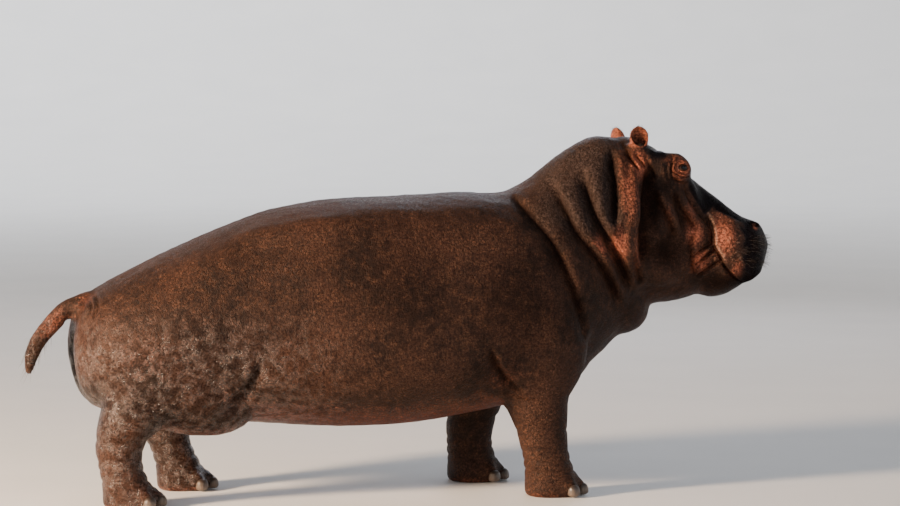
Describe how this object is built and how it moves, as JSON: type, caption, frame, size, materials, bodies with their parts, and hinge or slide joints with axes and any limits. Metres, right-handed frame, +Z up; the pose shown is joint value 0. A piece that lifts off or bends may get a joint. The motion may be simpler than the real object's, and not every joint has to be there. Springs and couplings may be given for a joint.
{
  "type": "hippopotamus",
  "caption": "Life-size still model of a standing adult hippopotamus with its head raised, divided into named body parts with ears, eyes and toe nails.",
  "frame": {"origin": "on the floor under the middle of the body's length", "axes": "+X forward, towards the muzzle; +Y the animal's left; +Z up"},
  "size_m": [3.4572, 1.0991, 1.6795],
  "materials": {
    "skin": "wet grey-brown hide, finely cracked and wrinkled",
    "ear_skin": "thin pinkish-brown skin",
    "eye_surface": "wet dark brown eye",
    "nail_horn": "worn grey-brown horn"
  },
  "bodies": {
    "root": {"trunk": "skin", "neck": "skin", "head": "skin", "jaw": "skin", "tail": "skin", "foreleg_right": "skin", "foreleg_left": "skin", "hindleg_right": "skin", "hindleg_left": "skin", "ear_right": "ear_skin", "ear_left": "ear_skin", "eye_right": "eye_surface", "eye_left": "eye_surface", "nail_foreleg_right_1": "nail_horn", "nail_foreleg_right_2": "nail_horn", "nail_foreleg_right_3": "nail_horn", "nail_foreleg_right_4": "nail_horn", "nail_foreleg_left_1": "nail_horn", "nail_foreleg_left_2": "nail_horn", "nail_foreleg_left_3": "nail_horn", "nail_foreleg_left_4": "nail_horn", "nail_hindleg_right_1": "nail_horn", "nail_hindleg_right_2": "nail_horn", "nail_hindleg_right_3": "nail_horn", "nail_hindleg_right_4": "nail_horn", "nail_hindleg_left_1": "nail_horn", "nail_hindleg_left_2": "nail_horn", "nail_hindleg_left_3": "nail_horn", "nail_hindleg_left_4": "nail_horn"}
  },
  "joints": []
}
